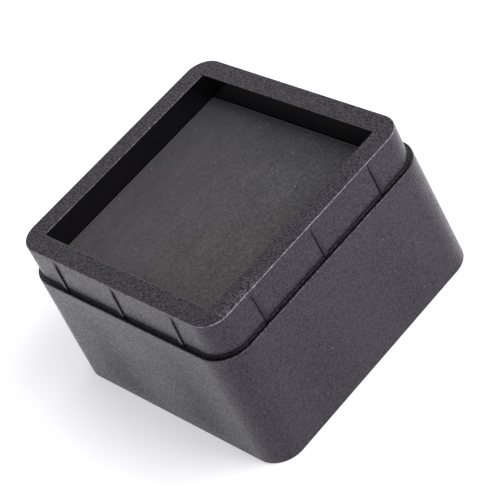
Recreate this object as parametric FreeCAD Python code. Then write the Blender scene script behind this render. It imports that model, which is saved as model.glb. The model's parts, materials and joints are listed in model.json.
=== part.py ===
import FreeCAD, Part
import math
import os

# A square stackable bed riser, in millimetres, standing on z = 0 with +Z up.
# The origin is the middle of the foot. One moulded shell carries a foam pad in
# its leg recess, and its collar fits up into the skirt of the next riser.

# The leg recess is a square well, a little wider at its mouth than at its floor.
recess_width = 80.0
recess_depth = 12.0
recess_taper = 0.3
recess_corner = 1.0

# The foam pad lies on the recess floor with a small gap to the walls.
pad_thickness = 2.3
pad_gap = 0.2

# The collar is the stepped-in top. Its rim is the flat ring round the recess.
rim_width = 7.45
rim_corner = 8.3
collar_height = 13.7
collar_taper = 0.65
collar_foot_corner = 10.1

# The ledge is the step that the skirt of the next riser stands on.
ledge_width = 1.6
shoulder_corner = 11.5

# The skirt is the outer wall from the ledge down to the floor.
skirt_height = 48.6
skirt_taper = 1.1
foot_corner = 10.0

# Three crush ribs on each side of the collar grip the next riser. Each starts just
# under the rim, rises over a short lead-in and then keeps its height to the ledge.
crush_rib_width = 1.8
crush_rib_start = 0.6
crush_rib_lead = 2.8
crush_rib_spacing = 28.5
crush_ribs_per_side = 3
crush_bite = 0.2

# Play between a collar and the skirt that sits over it, sideways and upwards.
stack_gap = 0.3
stack_headroom = 0.3

# Wall thicknesses of the moulding.
wall = 2.0
rim_thickness = 2.5
floor_thickness = 2.5

# Stiffening ribs under the recess floor, two each way, thinner at their free edge.
rib_offset = 20.4
rib_root = 2.0
rib_tip = 1.5

# Small round on the level edges of foot, shoulder, rim and recess mouth.
edge_round = 0.4
edge_steps = 3

# A stage of a block that is taller than this has an outline halfway up.
tall_stage = 3.0

# Heights, from the floor up.
ledge_z = skirt_height
rim_z = ledge_z + collar_height
recess_floor_z = rim_z - recess_depth
floor_underside_z = recess_floor_z - floor_thickness
rib_edge_z = collar_height + stack_headroom

# Half widths, from the recess outwards.
recess_mouth_half = recess_width / 2
recess_floor_half = recess_mouth_half - recess_taper
rim_half = recess_mouth_half + rim_width
collar_foot_half = rim_half + collar_taper
shoulder_half = collar_foot_half + ledge_width
foot_half = shoulder_half + skirt_taper
skirt_wall = ledge_width + skirt_taper - stack_gap


def rounded_square(half, radius, z):
    """Closed outline of a square with rounded corners, at height z."""
    side = half - radius
    bulge = side + radius / math.sqrt(2)
    edges = []
    for quarter in range(4):
        turn = FreeCAD.Rotation(FreeCAD.Vector(0, 0, 1), 90 * quarter)
        side_start = turn.multVec(FreeCAD.Vector(half, -side, z))
        arc_start = turn.multVec(FreeCAD.Vector(half, side, z))
        arc_middle = turn.multVec(FreeCAD.Vector(bulge, bulge, z))
        arc_end = turn.multVec(FreeCAD.Vector(side, half, z))
        edges.append(Part.LineSegment(side_start, arc_start).toShape())
        edges.append(Part.Arc(arc_start, arc_middle, arc_end).toShape())
    return Part.Wire(edges)


def block(sections):
    """Solid with straight walls through rounded squares given as (half, radius, z).

    A tall stage gets one more outline halfway up, which keeps its corner surfaces short.
    """
    outlines = [sections[0]]
    for low, high in zip(sections, sections[1:]):
        if high[2] - low[2] > tall_stage:
            outlines.append([(a + b) / 2 for a, b in zip(low, high)])
        outlines.append(high)
    return Part.makeLoft([rounded_square(*outline) for outline in outlines], True, True)


def round_sections(half, radius, z, inward, upward):
    """Sections that lead the outline half, radius round a level edge at height z.

    inward is 1 where the outline draws in at the edge and -1 where it flares out.
    upward is 1 at a top edge and -1 at a bottom edge. The edge comes last.
    """
    sections = []
    for step in range(edge_steps + 1):
        angle = math.radians(90 * step / edge_steps)
        inset = inward * edge_round * (1 - math.cos(angle))
        depth = upward * edge_round * (1 - math.sin(angle))
        sections.append((half - inset, radius - inset, z - depth))
    return sections


def outer_form():
    """The whole outside of the riser: skirt, ledge and collar."""
    foot = round_sections(foot_half, foot_corner, 0, 1, -1)
    shoulder = round_sections(shoulder_half, shoulder_corner, ledge_z, 1, 1)
    skirt = block(foot[::-1] + shoulder)
    rim = round_sections(rim_half, rim_corner, rim_z, 1, 1)
    collar = block([(collar_foot_half, collar_foot_corner, ledge_z)] + rim)
    return skirt.fuse(collar)


def inner_form(skirt_inset, collar_inset, top_inset):
    """The space inside the walls, open below, set in from the outside by each inset."""
    step_z = ledge_z - collar_inset
    skirt = block([
        (foot_half - skirt_inset, foot_corner - skirt_inset, 0),
        (shoulder_half - skirt_inset, shoulder_corner - skirt_inset, step_z),
    ])
    collar = block([
        (collar_foot_half - collar_inset, collar_foot_corner - collar_inset, step_z),
        (rim_half - collar_inset, rim_corner - collar_inset, rim_z - top_inset),
    ])
    return skirt.fuse(collar)


def recess_space():
    """The air in the leg recess, with a small round at its mouth."""
    mouth = round_sections(recess_mouth_half, recess_corner, rim_z, -1, 1)
    return block([(recess_floor_half, recess_corner, recess_floor_z)] + mouth)


def recess_well():
    """Walls and floor of the recess, as a block that hangs from the rim."""
    return block([
        (recess_floor_half + wall, recess_corner + wall, floor_underside_z),
        (recess_mouth_half + wall, recess_corner + wall, rim_z - rim_thickness / 2),
    ])


def prism_along_y(outline, start_y, length, turn_deg):
    """An outline of (x, z) points drawn out along y, then turned about the middle."""
    points = [FreeCAD.Vector(x, start_y, z) for x, z in outline]
    face = Part.Face(Part.makePolygon(points + [points[0]]))
    prism = face.extrude(FreeCAD.Vector(0, length, 0))
    prism.rotate(FreeCAD.Vector(0, 0, 0), FreeCAD.Vector(0, 0, 1), turn_deg)
    return prism


def stiffening_rib(offset, turn_deg):
    """One rib that crosses the inside below the recess floor and beside the well."""
    outline = [
        (offset - rib_tip / 2, rib_edge_z),
        (offset + rib_tip / 2, rib_edge_z),
        (offset + rib_root / 2, floor_underside_z),
        (offset + rib_root / 2, rim_z),
        (offset - rib_root / 2, rim_z),
        (offset - rib_root / 2, floor_underside_z),
    ]
    return prism_along_y(outline, -foot_half, 2 * foot_half, turn_deg)


def collar_half(depth):
    """Half width of the collar at a depth below the rim."""
    return rim_half + collar_taper * depth / collar_height


def crush_rib(along, turn_deg):
    """One rib on the collar: flush under the rim, then equally proud down to the ledge."""
    proud = stack_gap + crush_bite
    lead_end = crush_rib_start + crush_rib_lead
    root_half = rim_half - wall / 2
    root_z = ledge_z - wall / 2
    outline = [
        (root_half, rim_z - crush_rib_start),
        (collar_half(crush_rib_start), rim_z - crush_rib_start),
        (collar_half(lead_end) + proud, rim_z - lead_end),
        (collar_foot_half + proud, ledge_z),
        (collar_foot_half + proud, root_z),
        (root_half, root_z),
    ]
    return prism_along_y(outline, along - crush_rib_width / 2, crush_rib_width, turn_deg)


def make_riser_body():
    """The moulded shell: hollow from below, ribbed, with the recess let into its top."""
    shell = outer_form().cut(inner_form(skirt_wall, wall, rim_thickness))
    between_walls = inner_form(skirt_wall / 2, wall / 2, rim_thickness / 2)
    added = [recess_well()]
    for offset in (-rib_offset, rib_offset):
        for turn_deg in (0, 90):
            added.append(stiffening_rib(offset, turn_deg).common(between_walls))
    middle = (crush_ribs_per_side - 1) / 2
    for side in range(4):
        for rib in range(crush_ribs_per_side):
            added.append(crush_rib((rib - middle) * crush_rib_spacing, 90 * side))
    return shell.fuse(added).cut(recess_space()).removeSplitter()


def make_leg_pad():
    """The foam pad, a plain die-cut sheet."""
    outline = rounded_square(recess_floor_half - pad_gap, recess_corner - pad_gap, recess_floor_z)
    return Part.Face(outline).extrude(FreeCAD.Vector(0, 0, pad_thickness))


os.makedirs("parts", exist_ok=True)
make_riser_body().exportStep("parts/riser_body.step")
make_leg_pad().exportStep("parts/leg_pad.step")
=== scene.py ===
import json
import math

import bmesh
import bpy
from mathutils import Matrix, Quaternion, Vector, noise


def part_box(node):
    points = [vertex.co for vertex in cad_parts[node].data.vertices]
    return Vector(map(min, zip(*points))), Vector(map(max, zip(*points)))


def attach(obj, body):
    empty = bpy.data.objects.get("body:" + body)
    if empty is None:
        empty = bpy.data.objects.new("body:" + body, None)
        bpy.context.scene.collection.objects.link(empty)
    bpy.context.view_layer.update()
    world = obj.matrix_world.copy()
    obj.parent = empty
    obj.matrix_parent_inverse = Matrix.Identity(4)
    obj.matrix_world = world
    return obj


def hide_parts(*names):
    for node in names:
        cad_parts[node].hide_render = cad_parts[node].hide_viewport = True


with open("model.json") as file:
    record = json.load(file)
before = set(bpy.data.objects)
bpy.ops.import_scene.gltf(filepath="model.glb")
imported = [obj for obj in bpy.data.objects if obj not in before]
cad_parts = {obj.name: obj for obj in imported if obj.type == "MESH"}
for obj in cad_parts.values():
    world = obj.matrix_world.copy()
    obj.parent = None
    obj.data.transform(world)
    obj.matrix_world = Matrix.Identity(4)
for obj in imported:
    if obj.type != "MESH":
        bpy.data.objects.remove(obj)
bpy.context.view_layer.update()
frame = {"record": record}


# The riser body is one injection moulding in black polypropylene, open below.
# Its outside comes from a spark-eroded cavity and has a fine grain, and its
# recess and inside come from plain steel cores, so they are smoother and darker.
mm = 0.001
body_low, body_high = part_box("riser_body")
pad_low, pad_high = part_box("leg_pad")
mounts = {mount["name"]: Vector(mount["pos_m"]) for mount in frame["record"]["mounts"]}

pad_gap = 0.2 * mm
recess_taper = 0.3 * mm
recess_corner = 1.0 * mm
rim_width = 7.45 * mm
rim_corner = 8.3 * mm
collar_taper = 0.65 * mm
collar_foot_corner = 10.1 * mm
ledge_width = 1.6 * mm
shoulder_corner = 11.5 * mm
foot_corner = 10.0 * mm
stack_gap = 0.3 * mm
wall = 2.0 * mm
rim_thickness = 2.5 * mm
floor_thickness = 2.5 * mm

foot_half = body_high.x
rim_z = body_high.z
ledge_z = mounts["stack_ledge"].z
recess_floor_z = pad_low.z
recess_floor_half = pad_high.x + pad_gap
recess_mouth_half = recess_floor_half + recess_taper
rim_half = recess_mouth_half + rim_width
collar_foot_half = rim_half + collar_taper
shoulder_half = collar_foot_half + ledge_width
skirt_wall = ledge_width + foot_half - shoulder_half - stack_gap
rim_underside_z = rim_z - rim_thickness
step_z = ledge_z - wall
floor_underside_z = recess_floor_z - floor_thickness

edge_round = 0.4 * mm
inner_edge_round = 0.2 * mm
collar_foot_fillet = 0.25 * mm
round_steps = 5
edge_support = 0.15 * mm


def linear(hex_colour):
    """Linear colour with alpha of an sRGB hex value such as #1a1a1c."""
    shares = [int(hex_colour[i:i + 2], 16) / 255 for i in (1, 3, 5)]
    return [c / 12.92 if c <= 0.04045 else ((c + 0.055) / 1.055) ** 2.4 for c in shares] + [1.0]


def add_node(tree, kind, sockets=None, **settings):
    """Adds one node. sockets maps an input's name or number to a value, a node or an output."""
    node = tree.nodes.new(kind)
    for name, value in settings.items():
        setattr(node, name, value)
    for key, value in (sockets or {}).items():
        if isinstance(value, bpy.types.Node):
            value = value.outputs[0]
        if isinstance(value, bpy.types.NodeSocket):
            tree.links.new(value, node.inputs[key])
        else:
            node.inputs[key].default_value = value
    return node


def new_material(name):
    """An empty node material, with its tree and its object coordinates."""
    material = bpy.data.materials.new(name)
    material.use_nodes = True
    material.node_tree.nodes.clear()
    place = add_node(material.node_tree, "ShaderNodeTexCoord").outputs["Object"]
    return material, material.node_tree, place


# Spark-eroded black polypropylene: a carbon-black plastic that gives nearly all its
# light back as a broad sheen. Each spark left a small bowl, drawn here a few times its
# real width so that it shows. The bowls catch more or less light, more unevenly on the
# level faces than on the sides, which the draw of the mould has smoothed. The dark
# bowls are why the IOR is set above the real 1.5.
plastic_black = "#0a090c"
crest_black = "#1a181d"
dark_sheen = "#3b3941"
bright_sheen = "#f3ecfd"
# The pale of rubbed edges, used also for painted highlights along the edges.
pale_wear_and_highlight = "#b9b6be"
dust_grey = "#8d8a88"
plastic_ior = 1.75
bowl_width = 0.34 * mm
bowl_depth = 0.12 * mm
darkest_bowls = 0.15
brightest_bowls = 0.8
roughest_bowl = 0.45
smoothest_bowl = 0.15
side_facing = 0.4
level_facing = 0.9
rim_bowl_mean = 0.53
side_bowl_mean = 0.55
side_depth_share = 0.3
side_shade_share = 0.46
wave_width = 6 * mm
wave_depth = 0.05 * mm
flow_width = 14 * mm
sink_roughness = 0.13
sink_shade = 0.1
sheltered_shade = 0.4
scuff_width = 2.5 * mm
scuff_from = 0.35
scuff_full = 0.6
least_scuffed = 0.5
rubbed_from = 0.3
rubbed_full = 0.9
least_rubbed = 0.6
fleck_from = 0.72
fleck_full = 0.8
fleck_share = 0.3
dust_spacing = 3.4 * mm
dust_radius = 0.16 * mm
dust_rarity = 0.72

eroded_plastic, tree, place = new_material("spark_eroded_black_polypropylene")
facing = add_node(tree, "ShaderNodeNewGeometry").outputs["Normal"]
upward = add_node(tree, "ShaderNodeSeparateXYZ", {0: facing}).outputs["Z"]
levelness = add_node(tree, "ShaderNodeMapRange", {0: upward, 1: side_facing, 2: level_facing})
depth_share = add_node(tree, "ShaderNodeMapRange", {0: levelness, 3: side_depth_share, 4: 1.0})
shade_share = add_node(tree, "ShaderNodeMapRange", {0: levelness, 3: side_shade_share, 4: 1.0})
# On the sides the bowls are a little brighter on average than on the level faces: painted light that lifts
# the sides.
bowl_mean = add_node(tree, "ShaderNodeMapRange", {0: levelness, 3: side_bowl_mean, 4: rim_bowl_mean})
bowls = add_node(tree, "ShaderNodeTexVoronoi", {"Vector": place, "Scale": 1 / bowl_width})
bowl_pick = add_node(tree, "ShaderNodeSeparateColor", {0: bowls.outputs["Color"]})
bowl_light = add_node(tree, "ShaderNodeMapRange", {0: bowl_pick, 1: darkest_bowls, 2: brightest_bowls})
from_mean = add_node(tree, "ShaderNodeMath", {0: bowl_light, 1: 0.5}, operation="SUBTRACT")
bowl_shade = add_node(tree, "ShaderNodeMath", {0: from_mean, 1: shade_share, 2: bowl_mean},
                      operation="MULTIPLY_ADD")
sheen_colour = add_node(tree, "ShaderNodeMix", {0: bowl_shade, 6: linear(dark_sheen),
                                                7: linear(bright_sheen)}, data_type="RGBA")
flow = add_node(tree, "ShaderNodeTexNoise", {"Vector": place, "Scale": 1 / flow_width, "Detail": 3.0})
black_share = add_node(tree, "ShaderNodeMath", {0: flow, 1: bowl_shade}, operation="MULTIPLY")
black_colour = add_node(tree, "ShaderNodeMix", {0: black_share, 6: linear(plastic_black),
                                                7: linear(crest_black)}, data_type="RGBA")
# Pale edges: partly rubbed wear, partly painted highlights where the edges catch the light.
edge_wear_and_highlight = add_node(tree, "ShaderNodeAttribute", attribute_name="edge_wear_and_highlight").outputs["Fac"]
scuffs = add_node(tree, "ShaderNodeTexNoise", {"Vector": place, "Scale": 1 / scuff_width, "Detail": 2.0})
scuff_share = add_node(tree, "ShaderNodeMapRange", {
    0: scuffs, 1: scuff_from, 2: scuff_full, 3: least_scuffed})
rubbed_rim = add_node(tree, "ShaderNodeMapRange", {
    0: bowl_pick, 1: rubbed_from, 2: rubbed_full, 3: least_rubbed})
rubbed = add_node(tree, "ShaderNodeMath", {0: scuff_share, 1: rubbed_rim}, operation="MULTIPLY")
edge_worn_and_highlit = add_node(tree, "ShaderNodeMath", {0: edge_wear_and_highlight, 1: rubbed}, operation="MULTIPLY")
# Bright flecks painted along the rim edge at the near corner.
corner_flecks = add_node(tree, "ShaderNodeAttribute", attribute_name="corner_flecks").outputs["Fac"]
fleck = add_node(tree, "ShaderNodeMapRange", {0: bowl_pick, 1: fleck_from, 2: fleck_full})
flecks = add_node(tree, "ShaderNodeMath", {0: corner_flecks, 1: fleck}, operation="MULTIPLY")
flecks = add_node(tree, "ShaderNodeMath", {0: flecks, 1: fleck_share}, operation="MULTIPLY")
worn_and_highlit = add_node(tree, "ShaderNodeMath", {0: edge_worn_and_highlit, 1: flecks}, operation="MAXIMUM")
worn_and_highlit_colour = add_node(tree, "ShaderNodeMix", {0: worn_and_highlit, 6: black_colour.outputs[2],
                                               7: linear(pale_wear_and_highlight)}, data_type="RGBA")
dust = add_node(tree, "ShaderNodeTexVoronoi", {"Vector": place, "Scale": 1 / dust_spacing})
dust_pick = add_node(tree, "ShaderNodeSeparateColor", {0: dust.outputs["Color"]})
near_dust = add_node(tree, "ShaderNodeMath",
                     {0: dust.outputs["Distance"], 1: dust_radius / dust_spacing}, operation="LESS_THAN")
rare = add_node(tree, "ShaderNodeMath", {0: dust_pick, 1: dust_rarity}, operation="GREATER_THAN")
dust_dot = add_node(tree, "ShaderNodeMath", {0: near_dust, 1: rare}, operation="MULTIPLY")
colour = add_node(tree, "ShaderNodeMix", {0: dust_dot, 6: worn_and_highlit_colour.outputs[2],
                                          7: linear(dust_grey)}, data_type="RGBA")
# Over the sinks the skin is rougher and its sheen darker, more so lower down: partly a sink's duller skin,
# partly painted shade for the riser's shadow on the table reflected in the skirt.
sink = add_node(tree, "ShaderNodeAttribute", attribute_name="sink").outputs["Fac"]
bowl_roughness = add_node(tree, "ShaderNodeMapRange", {0: bowl_pick, 3: roughest_bowl, 4: smoothest_bowl})
roughness = add_node(tree, "ShaderNodeMath", {0: sink, 1: sink_roughness, 2: bowl_roughness},
                     operation="MULTIPLY_ADD")
sink_dulling_and_shade = add_node(tree, "ShaderNodeMapRange", {0: sink, 3: 1.0, 4: 1 - sink_shade})
# The ledge's colour and sheen are painted darker: painted shade where the collar keeps light away.
sheltered = add_node(tree, "ShaderNodeAttribute", attribute_name="sheltered").outputs["Fac"]
ledge_painted_shade = add_node(tree, "ShaderNodeMapRange", {0: sheltered, 3: 1.0, 4: sheltered_shade})
dulling_and_shade = add_node(tree, "ShaderNodeMath", {0: sink_dulling_and_shade, 1: ledge_painted_shade}, operation="MULTIPLY")
sheen_tint = add_node(tree, "ShaderNodeVectorMath", {0: sheen_colour.outputs[2], "Scale": dulling_and_shade},
                      operation="SCALE")
skin_colour = add_node(tree, "ShaderNodeVectorMath", {0: colour.outputs[2], "Scale": ledge_painted_shade},
                       operation="SCALE")
waves = add_node(tree, "ShaderNodeTexNoise", {"Vector": place, "Scale": 1 / wave_width, "Detail": 2.0})
wavy = add_node(tree, "ShaderNodeBump", {"Height": waves, "Distance": wave_depth})
deep_bowls = add_node(tree, "ShaderNodeMath", {0: bowls, 1: depth_share}, operation="MULTIPLY")
bump = add_node(tree, "ShaderNodeBump", {"Height": deep_bowls, "Distance": bowl_depth, "Normal": wavy})
shader = add_node(tree, "ShaderNodeBsdfPrincipled", {
    "Base Color": skin_colour, "Roughness": roughness, "IOR": plastic_ior,
    "Specular Tint": sheen_tint, "Normal": bump})
add_node(tree, "ShaderNodeOutputMaterial", {"Surface": shader})

# Plain tooled black polypropylene: the same plastic off a ground steel core, with
# faint upright draw marks from the stroke that pulls the core out.
core_black = "#0b0a0d"
core_ior = 1.45
draw_mark_width = 0.5 * mm
draw_mark_length = 12 * mm
draw_mark_depth = 0.004 * mm
smooth_core = 0.14
drawn_core = 0.2
noise_low = 0.3
noise_high = 0.7

tooled_plastic, tree, place = new_material("plain_tooled_black_polypropylene")
stretched = add_node(tree, "ShaderNodeMapping", {"Vector": place, "Scale": (
    1 / draw_mark_width, 1 / draw_mark_width, 1 / draw_mark_length)})
draw_marks = add_node(tree, "ShaderNodeTexNoise", {"Vector": stretched, "Scale": 1.0, "Detail": 1.0})
roughness = add_node(tree, "ShaderNodeMapRange", {
    0: draw_marks, 1: noise_low, 2: noise_high, 3: smooth_core, 4: drawn_core})
bump = add_node(tree, "ShaderNodeBump", {"Height": draw_marks, "Distance": draw_mark_depth})
shader = add_node(tree, "ShaderNodeBsdfPrincipled", {
    "Base Color": linear(core_black), "Roughness": roughness, "IOR": core_ior, "Normal": bump})
add_node(tree, "ShaderNodeOutputMaterial", {"Surface": shader})


def arc_rows(flat, corner, z, radius, start_deg, end_deg):
    """Rows round an edge. Its centre lies corner beyond the flat half, at height z."""
    rows = []
    for step in range(round_steps + 1):
        angle = math.radians(start_deg + (end_deg - start_deg) * step / round_steps)
        rows.append(Vector((flat, corner + radius * math.cos(angle), z + radius * math.sin(angle))))
    return rows


def wall_rows(start, end, count):
    """Rows between two edges, one close to each so that the wall shades flat up to them."""
    margin = edge_support / (end - start).length
    shares = [margin] + [step / count for step in range(1, count)] + [1 - margin]
    return [start.lerp(end, share) for share in shares]


def new_object(name, vertices, edges=(), faces=()):
    """An object with a new mesh, linked into the scene."""
    mesh = bpy.data.meshes.new(name)
    mesh.from_pydata(vertices, edges, faces)
    made = bpy.data.objects.new(name, mesh)
    bpy.context.scene.collection.objects.link(made)
    return made


def new_tree(name, inputs):
    """A geometry tree with named inputs. It returns the tree and its input node's outputs."""
    tree = bpy.data.node_groups.new(name, "GeometryNodeTree")
    tree.interface.new_socket("Geometry", in_out="INPUT", socket_type="NodeSocketGeometry")
    for input_name, kind in inputs.items():
        tree.interface.new_socket(input_name, in_out="INPUT", socket_type=kind)
    tree.interface.new_socket("Geometry", in_out="OUTPUT", socket_type="NodeSocketGeometry")
    return tree, add_node(tree, "NodeGroupInput").outputs


def grow(made, tree, values):
    """Runs a geometry tree on an object and leaves its result as a plain mesh."""
    modifier = made.modifiers.new(tree.name, "NODES")
    modifier.node_group = tree
    for item in tree.interface.items_tree:
        if item.in_out == "INPUT" and item.name in values:
            modifier[item.identifier] = values[item.name]
    bake_modifiers(made)


def bake_modifiers(made):
    """Swaps an object's mesh for its evaluated one and takes its modifiers off."""
    evaluated = made.evaluated_get(bpy.context.evaluated_depsgraph_get())
    mesh = bpy.data.meshes.new_from_object(evaluated)
    made.modifiers.clear()
    made.data = mesh


# The tree that sweeps a wall round a square with rounded corners. Each point of
# the strip it starts from is one row: half the flat side, the corner radius, the height.
merge_distance = 0.001 * mm
square_sweep, given = new_tree("rounded_square_sweep", {
    "Side Steps": "NodeSocketInt", "Corner Steps": "NodeSocketInt", "Material": "NodeSocketMaterial"})
row_count = add_node(square_sweep, "GeometryNodeAttributeDomainSize", {0: given["Geometry"]})
quarter_steps = add_node(square_sweep, "ShaderNodeMath",
                         {0: given["Side Steps"], 1: given["Corner Steps"]}, operation="ADD")
row_length = add_node(square_sweep, "ShaderNodeMath", {0: quarter_steps, 1: 4.0, 2: 1.0},
                      operation="MULTIPLY_ADD")
grid = add_node(square_sweep, "GeometryNodeMeshGrid", {"Vertices X": row_count, "Vertices Y": row_length})
index = add_node(square_sweep, "GeometryNodeInputIndex")
row_share = add_node(square_sweep, "ShaderNodeMath", {0: index, 1: row_length}, operation="DIVIDE")
row = add_node(square_sweep, "ShaderNodeMath", {0: row_share}, operation="FLOOR")
column = add_node(square_sweep, "ShaderNodeMath", {0: index, 1: row_length}, operation="MODULO")
quarter_share = add_node(square_sweep, "ShaderNodeMath", {0: column, 1: quarter_steps}, operation="DIVIDE")
quarter = add_node(square_sweep, "ShaderNodeMath", {0: quarter_share}, operation="FLOOR")
step = add_node(square_sweep, "ShaderNodeMath", {0: column, 1: quarter_steps}, operation="MODULO")
along = add_node(square_sweep, "ShaderNodeMapRange", {0: step, 2: given["Side Steps"], 3: -1.0, 4: 1.0})
bend = add_node(square_sweep, "ShaderNodeMapRange",
                {0: step, 1: given["Side Steps"], 2: quarter_steps, 3: 0.0, 4: math.pi / 2})
section = add_node(square_sweep, "GeometryNodeSampleIndex", {
    "Geometry": given["Geometry"], "Index": row,
    "Value": add_node(square_sweep, "GeometryNodeInputPosition")}, data_type="FLOAT_VECTOR")
section_part = add_node(square_sweep, "ShaderNodeSeparateXYZ", {0: section})
flat_half, corner_radius, height = section_part.outputs
outward = add_node(square_sweep, "ShaderNodeMath", {0: bend}, operation="COSINE")
sideways = add_node(square_sweep, "ShaderNodeMath", {0: bend}, operation="SINE")
local_x = add_node(square_sweep, "ShaderNodeMath", {0: corner_radius, 1: outward, 2: flat_half},
                   operation="MULTIPLY_ADD")
flat_y = add_node(square_sweep, "ShaderNodeMath", {0: flat_half, 1: along}, operation="MULTIPLY")
local_y = add_node(square_sweep, "ShaderNodeMath", {0: corner_radius, 1: sideways, 2: flat_y},
                   operation="MULTIPLY_ADD")
local = add_node(square_sweep, "ShaderNodeCombineXYZ", {0: local_x, 1: local_y, 2: height})
quarter_angle = add_node(square_sweep, "ShaderNodeMath", {0: quarter, 1: math.pi / 2}, operation="MULTIPLY")
turned = add_node(square_sweep, "ShaderNodeVectorRotate", {"Vector": local, "Angle": quarter_angle},
                  rotation_type="Z_AXIS")
placed = add_node(square_sweep, "GeometryNodeSetPosition", {"Geometry": grid, "Position": turned})
closed = add_node(square_sweep, "GeometryNodeMergeByDistance",
                  {"Geometry": placed, "Distance": merge_distance})
real = add_node(square_sweep, "GeometryNodeRealizeInstances", {"Geometry": closed})
finished = add_node(square_sweep, "GeometryNodeSetMaterial",
                    {"Geometry": real, "Material": given["Material"]})
add_node(square_sweep, "NodeGroupOutput", {"Geometry": finished})

recess_flat = recess_floor_half - recess_corner
mouth_flat = recess_mouth_half - recess_corner
rim_flat = rim_half - rim_corner
collar_foot_flat = collar_foot_half - collar_foot_corner
shoulder_flat = shoulder_half - shoulder_corner
foot_flat = foot_half - foot_corner
well_corner = recess_corner + wall

recess_floor_edge = Vector((recess_flat, recess_corner, recess_floor_z))
mouth = arc_rows(mouth_flat, recess_corner + edge_round, rim_z - edge_round, edge_round, 180, 90)
rim_edge = arc_rows(rim_flat, rim_corner - edge_round, rim_z - edge_round, edge_round, 90, 0)
collar_foot = arc_rows(collar_foot_flat, collar_foot_corner + collar_foot_fillet,
                       ledge_z + collar_foot_fillet, collar_foot_fillet, 180, 270)
shoulder = arc_rows(shoulder_flat, shoulder_corner - edge_round, ledge_z - edge_round, edge_round, 90, 0)
foot = arc_rows(foot_flat, foot_corner - edge_round, edge_round, edge_round, 0, -90)
foot_inside = arc_rows(foot_flat, foot_corner - skirt_wall + inner_edge_round, inner_edge_round,
                       inner_edge_round, 270, 180)
step_outside = Vector((shoulder_flat, shoulder_corner - skirt_wall, step_z))
step_inside = Vector((collar_foot_flat, collar_foot_corner - wall, step_z))
rim_inside = Vector((rim_flat, rim_corner - wall, rim_underside_z))
well_top = Vector((mouth_flat, well_corner, rim_underside_z))
well_edge = arc_rows(recess_flat, well_corner - inner_edge_round, floor_underside_z + inner_edge_round,
                     inner_edge_round, 0, -90)

rows = [Vector((0, 0, recess_floor_z)), recess_floor_edge * 0.5, recess_floor_edge]
rows[1].z = recess_floor_z
rows += wall_rows(recess_floor_edge, mouth[0], 4) + mouth
rows += wall_rows(mouth[-1], rim_edge[0], 4) + rim_edge
rows += wall_rows(rim_edge[-1], collar_foot[0], 8) + collar_foot
rows += wall_rows(collar_foot[-1], shoulder[0], 2) + shoulder
rows += wall_rows(shoulder[-1], foot[0], 24) + foot
rows += wall_rows(foot[-1], foot_inside[0], 2) + foot_inside
rows += wall_rows(foot_inside[-1], step_outside, 6) + [step_outside]
rows += wall_rows(step_outside, step_inside, 2) + [step_inside]
rows += wall_rows(step_inside, rim_inside, 3) + [rim_inside]
rows += wall_rows(rim_inside, well_top, 2) + [well_top]
rows += wall_rows(well_top, well_edge[0], 3) + well_edge
rows += [well_edge[-1] * 0.5, Vector((0, 0, floor_underside_z))]
rows[-2].z = floor_underside_z

riser = new_object("moulded_riser", rows, [(i, i + 1) for i in range(len(rows) - 1)])
grow(riser, square_sweep, {"Side Steps": 48, "Corner Steps": 24, "Material": eroded_plastic})

# The ribs are part of the moulding. One tree repeats a rib along a side and then
# round the block: three crush ribs on each side of the collar, two stiffening ribs each way.
rib_rows, given = new_tree("ribs_round_the_block", {
    "Ribs Per Side": "NodeSocketInt", "Rib Spacing": "NodeSocketFloat", "Sides": "NodeSocketInt",
    "Material": "NodeSocketMaterial"})
last_rib = add_node(rib_rows, "ShaderNodeMath", {0: given["Ribs Per Side"], 1: 1.0}, operation="SUBTRACT")
row_width = add_node(rib_rows, "ShaderNodeMath", {0: last_rib, 1: given["Rib Spacing"]},
                     operation="MULTIPLY")
first_y = add_node(rib_rows, "ShaderNodeMath", {0: row_width, 1: -0.5}, operation="MULTIPLY")
start = add_node(rib_rows, "ShaderNodeCombineXYZ", {1: first_y})
offset = add_node(rib_rows, "ShaderNodeCombineXYZ", {1: given["Rib Spacing"]})
rib_points = add_node(rib_rows, "GeometryNodeMeshLine", {
    "Count": given["Ribs Per Side"], "Start Location": start, "Offset": offset})
one_side = add_node(rib_rows, "GeometryNodeInstanceOnPoints", {
    "Points": rib_points, "Instance": given["Geometry"]})
side_points = add_node(rib_rows, "GeometryNodeMeshLine", {"Count": given["Sides"], "Offset": (0, 0, 0)})
side_angle = add_node(rib_rows, "ShaderNodeMath", {
    0: add_node(rib_rows, "GeometryNodeInputIndex"), 1: math.pi / 2}, operation="MULTIPLY")
side_turn = add_node(rib_rows, "ShaderNodeCombineXYZ", {2: side_angle})
all_sides = add_node(rib_rows, "GeometryNodeInstanceOnPoints", {
    "Points": side_points, "Instance": one_side, "Rotation": side_turn})
real = add_node(rib_rows, "GeometryNodeRealizeInstances", {"Geometry": all_sides})
finished = add_node(rib_rows, "GeometryNodeSetMaterial", {"Geometry": real, "Material": given["Material"]})
add_node(rib_rows, "NodeGroupOutput", {"Geometry": finished})


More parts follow.
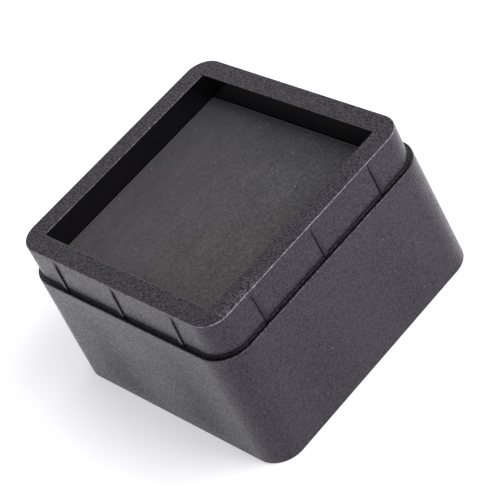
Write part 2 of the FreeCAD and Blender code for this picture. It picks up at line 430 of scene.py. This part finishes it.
def rib_plate(name, outline, edge=0.0, edge_from=0.0):
    """A rib across y. outline lists its corners as x, z and half the rib's thickness there.

    Its long edges past edge_from are rounded by edge.
    """
    count = len(outline)
    near = [(x, -half, z) for x, z, half in outline]
    far = [(x, half, z) for x, z, half in outline]
    sides = [(i, (i + 1) % count, (i + 1) % count + count, i + count) for i in range(count)]
    ends = [tuple(range(count))[::-1], tuple(range(count, 2 * count))]
    plate = new_object(name, near + far, faces=sides + ends)
    shape = bmesh.new()
    shape.from_mesh(plate.data)
    bmesh.ops.recalc_face_normals(shape, faces=shape.faces)
    if edge:
        long_edges = [line for line in shape.edges
                      if min(end.co.x for end in line.verts) > edge_from
                      and line.verts[0].co.y * line.verts[1].co.y > 0]
        bmesh.ops.bevel(shape, geom=long_edges, offset=edge, segments=3, profile=0.5, affect="EDGES")
    shape.to_mesh(plate.data)
    shape.free()
    return plate


# Crush ribs: each starts just under the rim, rises over a short lead-in and keeps its
# height down to the ledge. The skirt of the next riser bites on them, so a stack can't rattle.
crush_rib_half = 0.9 * mm
crush_rib_spacing = 28.5 * mm
crush_rib_start = 0.6 * mm
crush_rib_lead = 2.8 * mm
crush_bite = 0.2 * mm
crush_rib_edge = 0.15 * mm
proud = stack_gap + crush_bite
lead_end = crush_rib_start + crush_rib_lead


def collar_half(depth):
    """Half width of the collar at a depth below the rim."""
    return rim_half + collar_taper * depth / (rim_z - ledge_z)


crush_ribs = rib_plate("crush_ribs", [
    (rim_half - wall / 2, rim_z - crush_rib_start, crush_rib_half),
    (collar_half(crush_rib_start), rim_z - crush_rib_start, crush_rib_half),
    (collar_half(lead_end) + proud, rim_z - lead_end, crush_rib_half),
    (collar_foot_half + proud, ledge_z, crush_rib_half),
    (collar_foot_half + proud, ledge_z - wall / 2, crush_rib_half),
    (rim_half - wall / 2, ledge_z - wall / 2, crush_rib_half)],
    edge=crush_rib_edge, edge_from=rim_half)
grow(crush_ribs, rib_rows, {"Ribs Per Side": 3, "Rib Spacing": crush_rib_spacing, "Sides": 4,
                            "Material": eroded_plastic})

# Stiffening ribs: thin webs under the recess floor that run from wall to wall and
# up beside the well. Their ends and tops lie inside the walls they join.
rib_offset = 20.4 * mm
rib_tip_half = 0.75 * mm
rib_root_half = 1.0 * mm
stack_headroom = 0.3 * mm
rib_edge_z = rim_z - ledge_z + stack_headroom
foot_middle = foot_half - skirt_wall / 2
step_middle = shoulder_half - skirt_wall / 2
rib_end = foot_middle + (step_middle - foot_middle) * rib_edge_z / ledge_z
well_middle = recess_floor_half + wall / 2
right_side = [
    (rib_end, rib_edge_z, rib_tip_half),
    (step_middle, ledge_z - wall / 2, rib_root_half),
    (collar_foot_half - wall / 2, ledge_z - wall / 2, rib_root_half),
    (rim_half - wall / 2, rim_z - rim_thickness / 2, rib_root_half),
    (well_middle, rim_z - rim_thickness / 2, rib_root_half),
    (well_middle, recess_floor_z - floor_thickness / 2, rib_root_half)]
left_side = [(-x, z, half) for x, z, half in right_side[::-1]]
stiffening_ribs = rib_plate("stiffening_ribs", right_side + left_side)
grow(stiffening_ribs, rib_rows, {"Ribs Per Side": 2, "Rib Spacing": 2 * rib_offset, "Sides": 2,
                                 "Material": tooled_plastic})

for ribs in (crush_ribs, stiffening_ribs):
    union = riser.modifiers.new(ribs.name, "BOOLEAN")
    union.object = ribs
    union.operation = "UNION"
    union.solver = "EXACT"
    union.use_self = ribs is stiffening_ribs
    bake_modifiers(riser)
    bpy.data.objects.remove(ribs)

# The finished wall: each stiffening rib draws a faint sink into the skirt outside it
# as it cools, and the faces that the cores shape get the smoother finish.
sink_depth = 0.06 * mm
sink_width = 10 * mm
sink_fade = 30 * mm
wander_depth = 0.12 * mm
wander_width = 24 * mm
foot_fade = 6 * mm
shoulder_fade = 3 * mm
close_by = 0.04 * mm


def sink_at(place_along):
    """How far the wall is drawn in beside the two ribs that meet it, from 0 to 1."""
    return sum(math.exp(-((place_along - rib) / sink_width) ** 2) for rib in (-rib_offset, rib_offset))


def reach(x, y, flat):
    """Distance out from the middle of a rounded square whose flat half side is given."""
    beyond_x = max(0.0, abs(x) - flat)
    beyond_y = max(0.0, abs(y) - flat)
    if beyond_x and beyond_y:
        return flat + math.hypot(beyond_x, beyond_y)
    return max(abs(x), abs(y))


# Handling has rubbed the outward edges pale, and they are also painted pale as highlights
# where they catch the light; the pale line round the collar's foot is a painted highlight on
# its fillet. Each has its flat side, half width, height and amount of pale.
worn_and_highlit_edges = [
    (rim_flat, rim_half, rim_z, 0.8),
    (mouth_flat, recess_mouth_half, rim_z, 0.35),
    (collar_foot_flat, collar_foot_half, ledge_z + collar_foot_fillet, 0.25),
    (shoulder_flat, shoulder_half, ledge_z, 0.25),
    (foot_flat, foot_half, 0.0, 0.1)]
wear_and_highlight_reach = 0.27 * mm
edge_inset = 0.12 * mm

# Bright flecks are painted along the rim edge at the near corner.
fleck_span_x = (-39 * mm, -27 * mm)
fleck_spread = 5 * mm


def wear_and_highlight_at(x, y, z):
    """How pale the surface at a point is painted, for rubbed wear and edge highlights, from 0 to 1."""
    wear = 0.0
    for flat, half, edge_z, amount in worn_and_highlit_edges:
        out = reach(x, y, flat)
        if half == shoulder_half and out < half - edge_round / 2:
            continue
        inset = edge_inset if half > recess_mouth_half else -edge_inset
        drop = edge_inset if edge_z else -edge_inset
        distance = math.hypot(out - half + inset, z - edge_z + drop)
        wear = max(wear, amount * (1 - distance / wear_and_highlight_reach))
    return wear


def corner_flecks_at(x, y, z):
    """How thick the flecks lie at a point of the rim, from 0 to 1."""
    if z <= rim_z - edge_round:
        return 0.0
    aside = max(fleck_span_x[0] - x, x - fleck_span_x[1], 0.0)
    return max(0.0, 1 - math.hypot(aside, y + rim_half) / fleck_spread)


def on_ledge(x, y, z):
    """Whether a point lies on the ledge, where the collar keeps most light away."""
    before_edge = reach(x, y, shoulder_flat) < shoulder_half - 0.6 * edge_round
    beside_collar = reach(x, y, collar_foot_flat) > rim_half
    return before_edge and beside_collar and abs(z - ledge_z) < collar_foot_fillet


def core_side(x, y, z):
    """Whether a face's middle lies in the recess or in the body, where a core shaped it."""
    in_mouth = max(abs(x), abs(y)) < recess_mouth_half + close_by
    in_recess = in_mouth and z > recess_floor_z - close_by
    in_collar = reach(x, y, rim_flat) < rim_half - wall / 2 and z < rim_underside_z + close_by
    skirt_middle = foot_middle + (step_middle - foot_middle) * z / ledge_z
    in_skirt = reach(x, y, foot_flat) < skirt_middle and z < step_z + close_by
    return in_recess or in_collar or in_skirt


shape = bmesh.new()
shape.from_mesh(riser.data)
bmesh.ops.remove_doubles(shape, verts=shape.verts, dist=merge_distance / 2)
bmesh.ops.recalc_face_normals(shape, faces=shape.faces)
edge_wear_and_highlight = shape.verts.layers.float.new("edge_wear_and_highlight")
corner_flecks = shape.verts.layers.float.new("corner_flecks")
sink = shape.verts.layers.float.new("sink")
sheltered = shape.verts.layers.float.new("sheltered")
for vertex in shape.verts:
    x, y, z = vertex.co
    vertex[edge_wear_and_highlight] = wear_and_highlight_at(x, y, z)
    vertex[corner_flecks] = corner_flecks_at(x, y, z)
    vertex[sheltered] = 1.0 if on_ledge(x, y, z) else 0.0
    wall_middle = foot_middle + (step_middle - foot_middle) * z / ledge_z
    if max(abs(x), abs(y)) > wall_middle and edge_round < z < ledge_z - edge_round:
        fade = min(1, (z - edge_round) / foot_fade, (ledge_z - edge_round - z) / shoulder_fade)
        wander = noise.noise(vertex.co / wander_width) * wander_depth
        along_wall = y if abs(x) > abs(y) else x
        # The sink value also darkens the sheen lower down: partly a sink's duller skin, partly painted
        # shade.
        vertex[sink] = min(fade, (ledge_z - z) / sink_fade) * sink_at(along_wall)
        vertex.co -= vertex.normal * fade * (sink_depth * sink_at(along_wall) + wander)
for face in shape.faces:
    face.material_index = 1 if core_side(*face.calc_center_median()) else 0
    face.smooth = True
riser.data.materials.clear()
riser.data.materials.append(eroded_plastic)
riser.data.materials.append(tooled_plastic)
shape.to_mesh(riser.data)
shape.free()
riser.data.set_sharp_from_angle(angle=math.radians(35))
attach(riser, "root")
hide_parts("riser_body")


# The leg pad is a die-cut sheet of closed-cell rubber foam, glued to the recess
# floor. It is soft, so its top is a little uneven and its cut edge is rounded off.
pad_corner = recess_corner - pad_gap
pad_edge_round = 0.35 * mm
pad_unevenness = 0.12 * mm
pad_wave_width = 11 * mm
foam_mauve = "#4a4549"
foam_olive = "#474544"
foam_grey = "#464547"
foam_cut = "#5f5d5b"
lint_white = "#c9c5c1"
foam_roughness = 0.8
foam_ior = 1.45
bubble_width = 0.5 * mm
bubble_depth = 0.03 * mm
rough_front = -25 * mm
smooth_back = 25 * mm
front_contrast = 0.85
back_contrast = 0.35
patch_width = 13 * mm
patch_drift = 70 * mm
patch_seed = 20.0
grey_from = -12 * mm
grey_full = 16 * mm
brown_from = 6 * mm
brown_full = -12 * mm
mottle_swing = 0.1
wipe_width = 3.5 * mm
wipe_length = 40 * mm
wipe_swing = 0.07
unshaded_reach = 24 * mm
full_shade_reach = 40 * mm
wall_shade_level = 0.72
corner_share = 0.15
lint_spacing = 1.9 * mm
lint_radius = 0.17 * mm
least_lint = 0.4
lint_rarity = 0.35

# Closed-cell foam rubber, calendered: matt, with fine bubbles under a thin skin, drawn a
# little larger than real so that they show. The skin is mauve, brown and grey in clouds
# that run into each other. It is painted darker towards the front and the sides, painted
# shade by the recess walls, rougher in front, and pale lint clings to it.
foam_rubber, tree, place = new_material("closed_cell_foam_rubber")
part = add_node(tree, "ShaderNodeSeparateXYZ", {0: place}).outputs
patches = add_node(tree, "ShaderNodeTexNoise", {"Vector": place, "W": patch_seed, "Scale": 1 / patch_width,
                                                "Detail": 4.0}, noise_dimensions="4D")
cloud = add_node(tree, "ShaderNodeSeparateColor", {0: patches.outputs["Color"]}).outputs
drift_x = add_node(tree, "ShaderNodeMath", {0: cloud[0], 1: patch_drift, 2: part["X"]},
                   operation="MULTIPLY_ADD")
drift_y = add_node(tree, "ShaderNodeMath", {0: cloud[1], 1: patch_drift, 2: part["Y"]},
                   operation="MULTIPLY_ADD")
grey_share = add_node(tree, "ShaderNodeMapRange", {0: drift_x, 1: patch_drift / 2 + grey_from,
                                                   2: patch_drift / 2 + grey_full})
brown_share = add_node(tree, "ShaderNodeMapRange", {0: drift_y, 1: patch_drift / 2 + brown_from,
                                                    2: patch_drift / 2 + brown_full})
warm_colour = add_node(tree, "ShaderNodeMix", {0: brown_share, 6: linear(foam_mauve),
                                               7: linear(foam_olive)}, data_type="RGBA")
patch_colour = add_node(tree, "ShaderNodeMix", {0: grey_share, 6: warm_colour.outputs[2],
                                                7: linear(foam_grey)}, data_type="RGBA")
bubbles = add_node(tree, "ShaderNodeTexVoronoi", {"Vector": place, "Scale": 1 / bubble_width})
bubble_pick = add_node(tree, "ShaderNodeSeparateColor", {0: bubbles.outputs["Color"]})
bubble_contrast = add_node(tree, "ShaderNodeMapRange", {
    0: part["Y"], 1: smooth_back, 2: rough_front, 3: back_contrast, 4: front_contrast})
bubble_offset = add_node(tree, "ShaderNodeMath", {0: bubble_pick, 1: 0.5}, operation="SUBTRACT")
bubble_shade = add_node(tree, "ShaderNodeMath", {0: bubble_offset, 1: bubble_contrast, 2: 1.0},
                        operation="MULTIPLY_ADD")
mottle = add_node(tree, "ShaderNodeMapRange", {
    0: cloud[2], 1: noise_low, 2: noise_high, 3: 1 - mottle_swing, 4: 1 + mottle_swing})
wiped_place = add_node(tree, "ShaderNodeMapping", {"Vector": place, "Scale": (
    1 / wipe_length, 1 / wipe_width, 1 / wipe_width)})
wipes = add_node(tree, "ShaderNodeTexNoise", {"Vector": wiped_place, "Scale": 1.0, "Detail": 2.0})
wiped = add_node(tree, "ShaderNodeMapRange", {
    0: wipes, 1: noise_low, 2: noise_high, 3: 1 - wipe_swing, 4: 1 + wipe_swing})
# Painted shade: the skin darkens towards the side walls and the front wall, most of all at the +x side and
# the front.
frontward = add_node(tree, "ShaderNodeMath", {0: part["Y"], 1: -1.0}, operation="MULTIPLY")
aside = add_node(tree, "ShaderNodeMath", {0: part["X"]}, operation="ABSOLUTE")
to_edge = add_node(tree, "ShaderNodeMath", {0: aside, 1: frontward}, operation="MAXIMUM")
to_corner = add_node(tree, "ShaderNodeMath", {0: part["X"], 1: frontward}, operation="ADD")
shade_place = add_node(tree, "ShaderNodeMath", {0: to_corner, 1: corner_share, 2: to_edge},
                        operation="MULTIPLY_ADD")
painted_wall_shade = add_node(tree, "ShaderNodeMapRange", {
    0: shade_place, 1: unshaded_reach, 2: full_shade_reach, 3: 1.0, 4: wall_shade_level})
shade = add_node(tree, "ShaderNodeMath", {0: bubble_shade, 1: painted_wall_shade}, operation="MULTIPLY")
shade = add_node(tree, "ShaderNodeMath", {0: shade, 1: mottle}, operation="MULTIPLY")
shade = add_node(tree, "ShaderNodeMath", {0: shade, 1: wiped}, operation="MULTIPLY")
skin_colour = add_node(tree, "ShaderNodeVectorMath", {0: patch_colour.outputs[2], "Scale": shade},
                       operation="SCALE")
cut_edge = add_node(tree, "ShaderNodeAttribute", attribute_name="cut_edge").outputs["Fac"]
cut_colour = add_node(tree, "ShaderNodeMix", {0: cut_edge, 6: skin_colour, 7: linear(foam_cut)},
                      data_type="RGBA")
lint = add_node(tree, "ShaderNodeTexVoronoi", {"Vector": place, "Scale": 1 / lint_spacing})
lint_pick = add_node(tree, "ShaderNodeSeparateColor", {0: lint.outputs["Color"]}).outputs
lint_size = add_node(tree, "ShaderNodeMapRange", {
    0: lint_pick[1], 3: least_lint * lint_radius / lint_spacing, 4: lint_radius / lint_spacing})
near_lint = add_node(tree, "ShaderNodeMath", {0: lint.outputs["Distance"], 1: lint_size},
                     operation="LESS_THAN")
clinging = add_node(tree, "ShaderNodeMath", {0: lint_pick[0], 1: cloud[2]}, operation="MULTIPLY")
rare = add_node(tree, "ShaderNodeMath", {0: clinging, 1: lint_rarity}, operation="GREATER_THAN")
lint_dot = add_node(tree, "ShaderNodeMath", {0: near_lint, 1: rare}, operation="MULTIPLY")
lint_share = add_node(tree, "ShaderNodeMath", {0: lint_dot, 1: lint_pick[2]}, operation="MULTIPLY")
colour = add_node(tree, "ShaderNodeMix", {0: lint_share, 6: cut_colour.outputs[2], 7: linear(lint_white)},
                  data_type="RGBA")
bump = add_node(tree, "ShaderNodeBump", {"Height": bubbles, "Distance": bubble_depth})
shader = add_node(tree, "ShaderNodeBsdfPrincipled", {
    "Base Color": colour.outputs[2], "Roughness": foam_roughness, "IOR": foam_ior, "Normal": bump})
add_node(tree, "ShaderNodeOutputMaterial", {"Surface": shader})

pad_flat = pad_high.x - pad_corner
pad_foot = Vector((pad_flat, pad_corner, pad_low.z))
pad_edge = arc_rows(pad_flat, pad_corner - pad_edge_round, pad_high.z - pad_edge_round,
                    pad_edge_round, 0, 90)
pad_middle = Vector((0, 0, pad_high.z))
rows = [Vector((0, 0, pad_low.z)), pad_foot] + wall_rows(pad_foot, pad_edge[0], 3) + pad_edge
rows += wall_rows(pad_edge[-1], pad_middle, 36) + [pad_middle]
pad = new_object("foam_pad", rows, [(i, i + 1) for i in range(len(rows) - 1)])
grow(pad, square_sweep, {"Side Steps": 36, "Corner Steps": 4, "Material": foam_rubber})
shape = bmesh.new()
shape.from_mesh(pad.data)
bmesh.ops.remove_doubles(shape, verts=shape.verts, dist=merge_distance / 2)
bmesh.ops.recalc_face_normals(shape, faces=shape.faces)
cut_edge = shape.verts.layers.float.new("cut_edge")
for vertex in shape.verts:
    near_edge = pad_high.x - max(abs(vertex.co.x), abs(vertex.co.y)) < 1.1 * pad_edge_round
    vertex[cut_edge] = 1.0 if near_edge and vertex.co.z > pad_low.z else 0.0
    if vertex.co.z > pad_high.z - pad_edge_round / 2:
        vertex.co.z += pad_unevenness * (noise.noise(vertex.co / pad_wave_width) - 0.5)
for face in shape.faces:
    face.smooth = True
    face.material_index = 0
pad.data.materials.clear()
pad.data.materials.append(foam_rubber)
shape.to_mesh(pad.data)
shape.free()
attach(pad, "root")
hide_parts("leg_pad")


# A white table top under the riser. The camera and the reflections see it a little
# whiter than the light on it makes it, and it keeps the riser's shadow.
table_white = "#f6f6f8"
table_glow = 0.36
table_reach = 3.0
table = new_object("table_top", [(-table_reach, -table_reach, 0), (table_reach, -table_reach, 0),
                                 (table_reach, table_reach, 0), (-table_reach, table_reach, 0)],
                   faces=[(0, 1, 2, 3)])
table_paint, tree, place = new_material("white_table_paint")
ray = add_node(tree, "ShaderNodeLightPath").outputs
seen = add_node(tree, "ShaderNodeMath", {0: ray["Is Camera Ray"], 1: ray["Is Glossy Ray"]},
                operation="MAXIMUM")
seen = add_node(tree, "ShaderNodeMath", {0: seen, 1: ray["Is Transmission Ray"]}, operation="MAXIMUM")
glow_strength = add_node(tree, "ShaderNodeMath", {0: seen, 1: table_glow}, operation="MULTIPLY")
glow = add_node(tree, "ShaderNodeEmission", {"Color": linear("#ffffff"), "Strength": glow_strength})
paint = add_node(tree, "ShaderNodeBsdfDiffuse", {"Color": linear(table_white)})
shader = add_node(tree, "ShaderNodeAddShader", {0: paint, 1: glow})
add_node(tree, "ShaderNodeOutputMaterial", {"Surface": shader})
table.data.materials.append(table_paint)

# A pale room, brighter round its walls than overhead, with its window to the right.
wall_paint = "#fcfaff"
wall_light = 1.1
ceiling_light = 0.45
window_light = Vector((0.35, -0.16, 0))
world = bpy.data.worlds.new("pale_room")
world.use_nodes = True
world.node_tree.nodes.clear()
direction = add_node(world.node_tree, "ShaderNodeTexCoord").outputs["Generated"]
height = add_node(world.node_tree, "ShaderNodeSeparateXYZ", {0: direction}).outputs["Z"]
even_light = add_node(world.node_tree, "ShaderNodeMapRange", {0: height, 3: wall_light, 4: ceiling_light})
from_window = add_node(world.node_tree, "ShaderNodeVectorMath", {0: direction, 1: window_light},
                       operation="DOT_PRODUCT").outputs["Value"]
strength = add_node(world.node_tree, "ShaderNodeMath", {0: even_light, 1: from_window}, operation="ADD")
room = add_node(world.node_tree, "ShaderNodeBackground", {
    "Color": linear(wall_paint), "Strength": strength})
add_node(world.node_tree, "ShaderNodeOutputWorld", {"Surface": room})
bpy.context.scene.world = world

# One soft box, high up in front of the riser and to the right of the camera.
key_direction = Vector((0.29, -0.5, 0.82)).normalized()
key_distance = 1.2
key_data = bpy.data.lights.new("soft_box", "AREA")
key_data.size = 0.6
key_data.energy = 7.3
key = bpy.data.objects.new("soft_box", key_data)
key.location = key_direction * key_distance
key.rotation_mode = "QUATERNION"
key.rotation_quaternion = (-key_direction).to_track_quat("-Z", "Y")
bpy.context.scene.collection.objects.link(key)

# The camera, at the photo's place: above the near corner, and rolled well over.
camera_azimuth = math.radians(27.95)
camera_elevation = math.radians(40.51)
camera_roll = math.radians(-28.175)
camera_distance = 626.8 * mm
camera_aim = Vector((1.74, -2.16, 29.88)) * mm
look = Vector((math.sin(camera_azimuth) * math.cos(camera_elevation),
               math.cos(camera_azimuth) * math.cos(camera_elevation), -math.sin(camera_elevation)))
camera_data = bpy.data.cameras.new("camera")
camera_data.sensor_width = 36.0
camera_data.lens = 136.455
camera_data.clip_start = 0.01
camera = bpy.data.objects.new("camera", camera_data)
camera.rotation_mode = "QUATERNION"
camera.rotation_quaternion = look.to_track_quat("-Z", "Y") @ Quaternion((0, 0, 1), camera_roll)
camera.location = camera_aim - look * camera_distance
bpy.context.scene.collection.objects.link(camera)
bpy.context.scene.camera = camera
bpy.context.scene.view_settings.view_transform = "Standard"
